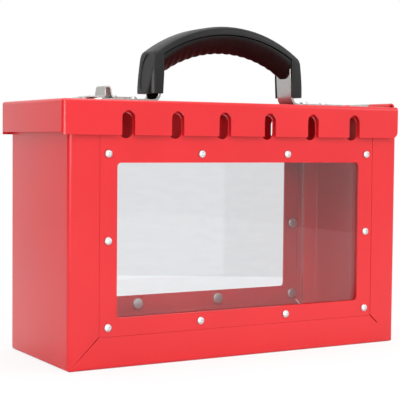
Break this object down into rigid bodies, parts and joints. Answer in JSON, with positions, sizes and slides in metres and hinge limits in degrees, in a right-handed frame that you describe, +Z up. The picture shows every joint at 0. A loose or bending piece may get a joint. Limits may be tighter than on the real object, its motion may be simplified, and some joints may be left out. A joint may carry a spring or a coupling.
{
  "type": "group lockout box",
  "caption": "Portable steel lockout box with clear window panes, a hinged lid with padlock slots along both long sides, a slide latch and a carrying handle.",
  "frame": {"origin": "on the floor under the middle of the lid", "axes": "+Z up, +X along the long side towards the hinge, front long side faces -Y"},
  "size_m": [0.2322, 0.0918, 0.198],
  "materials": {
    "red_steel": "gloss",
    "clear_acrylic": "gloss",
    "rivet_metal": "satin",
    "bare_steel": "satin",
    "handle_plastic": "satin",
    "grip_rubber": "matte"
  },
  "bodies": {
    "box": {"body_casing": "red_steel", "front_panel": "red_steel", "back_panel": "red_steel", "front_pane": "clear_acrylic", "back_pane": "clear_acrylic", "hinge_body_leaf": "red_steel", "hinge_pin": "bare_steel", "latch_catch": "bare_steel", "front_rivet_1": "rivet_metal", "front_rivet_2": "rivet_metal", "front_rivet_3": "rivet_metal", "front_rivet_4": "rivet_metal", "front_rivet_5": "rivet_metal", "front_rivet_6": "rivet_metal", "front_rivet_7": "rivet_metal", "front_rivet_8": "rivet_metal", "front_rivet_9": "rivet_metal", "front_rivet_10": "rivet_metal", "back_rivet_1": "rivet_metal", "back_rivet_2": "rivet_metal", "back_rivet_3": "rivet_metal", "back_rivet_4": "rivet_metal", "back_rivet_5": "rivet_metal", "back_rivet_6": "rivet_metal", "back_rivet_7": "rivet_metal", "back_rivet_8": "rivet_metal", "back_rivet_9": "rivet_metal", "back_rivet_10": "rivet_metal"},
    "lid": {"lid_top": "red_steel", "lid_front_skirt": "red_steel", "lid_back_skirt": "red_steel", "hinge_lid_leaf": "bare_steel", "handle_strap": "bare_steel", "handle_shell": "handle_plastic", "handle_grip": "grip_rubber", "handle_rivet_1": "rivet_metal", "handle_rivet_2": "rivet_metal", "handle_rivet_3": "rivet_metal", "latch_guide_rivet": "rivet_metal"},
    "latch": {"latch_strip": "bare_steel"}
  },
  "joints": [
    {"name": "lid_hinge", "type": "hinge", "parent": "box", "child": "lid", "pos_m": [0.1121, 0, 0.15], "axis": [0, 1, 0], "range_deg": [0, 105]},
    {"name": "latch_slide", "type": "slide", "parent": "lid", "child": "latch", "axis": [-1, 0, 0], "range_m": [0, 0.006]}
  ]
}
